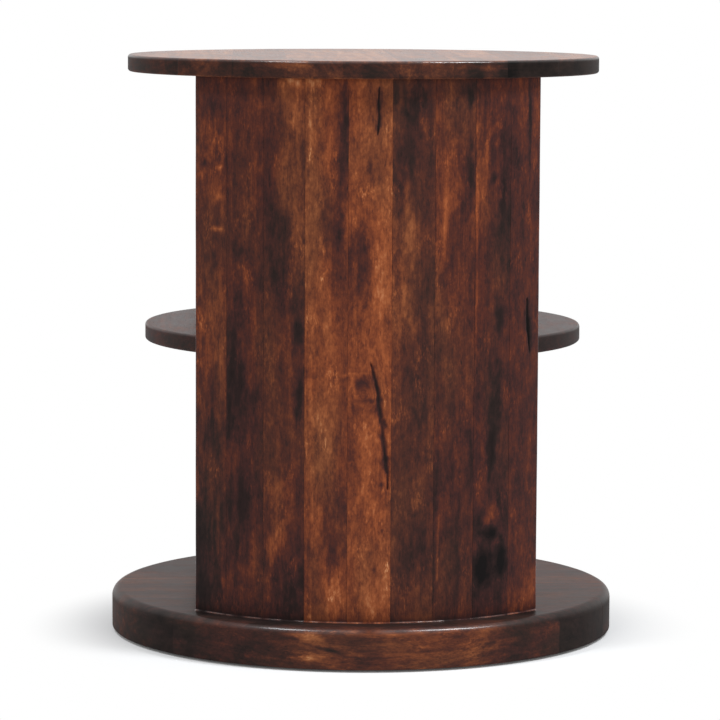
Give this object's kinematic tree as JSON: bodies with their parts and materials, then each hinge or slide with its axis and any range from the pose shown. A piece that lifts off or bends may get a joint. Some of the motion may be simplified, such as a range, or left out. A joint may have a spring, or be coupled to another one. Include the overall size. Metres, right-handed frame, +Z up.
{
  "type": "round side table",
  "caption": "Round side table in dark chestnut wood: heavy round base, two facing curved side panels of upright staves, a round shelf between them and a round top; open at both ends.",
  "frame": {"origin": "on the floor, under the middle of the table", "axes": "+Z up, side panel A faces -Y, side panel B faces +Y, the open ends face -X and +X"},
  "size_m": [0.45, 0.45, 0.516],
  "materials": {
    "panel_wood": "satin lacquer over dark chestnut stain",
    "top_wood": "satin lacquer over dark chestnut stain",
    "shelf_wood": "satin lacquer over dark chestnut stain",
    "base_wood": "satin lacquer over dark chestnut stain",
    "dowel_wood": "plain hardwood",
    "screw_steel": "zinc plated",
    "pad_felt": "pressed felt"
  },
  "bodies": {
    "root": {"base_board_1": "base_wood", "base_board_2": "base_wood", "base_board_3": "base_wood", "base_board_4": "base_wood", "base_board_5": "base_wood", "base_board_6": "base_wood", "shelf_board_1": "shelf_wood", "shelf_board_2": "shelf_wood", "shelf_board_3": "shelf_wood", "shelf_board_4": "shelf_wood", "shelf_board_5": "shelf_wood", "shelf_board_6": "shelf_wood", "shelf_board_7": "shelf_wood", "top_board_1": "top_wood", "top_board_2": "top_wood", "top_board_3": "top_wood", "top_board_4": "top_wood", "top_board_5": "top_wood", "top_board_6": "top_wood", "top_board_7": "top_wood", "top_board_8": "top_wood", "top_board_9": "top_wood", "panel_a_stave_1": "panel_wood", "panel_a_stave_2": "panel_wood", "panel_a_stave_3": "panel_wood", "panel_a_stave_4": "panel_wood", "panel_a_stave_5": "panel_wood", "panel_a_stave_6": "panel_wood", "panel_a_stave_7": "panel_wood", "panel_a_stave_8": "panel_wood", "panel_a_stave_9": "panel_wood", "panel_b_stave_1": "panel_wood", "panel_b_stave_2": "panel_wood", "panel_b_stave_3": "panel_wood", "panel_b_stave_4": "panel_wood", "panel_b_stave_5": "panel_wood", "panel_b_stave_6": "panel_wood", "panel_b_stave_7": "panel_wood", "panel_b_stave_8": "panel_wood", "panel_b_stave_9": "panel_wood", "base_dowels": "dowel_wood", "shelf_dowels": "dowel_wood", "top_dowels": "dowel_wood", "base_screws": "screw_steel", "floor_pads": "pad_felt"}
  },
  "joints": []
}
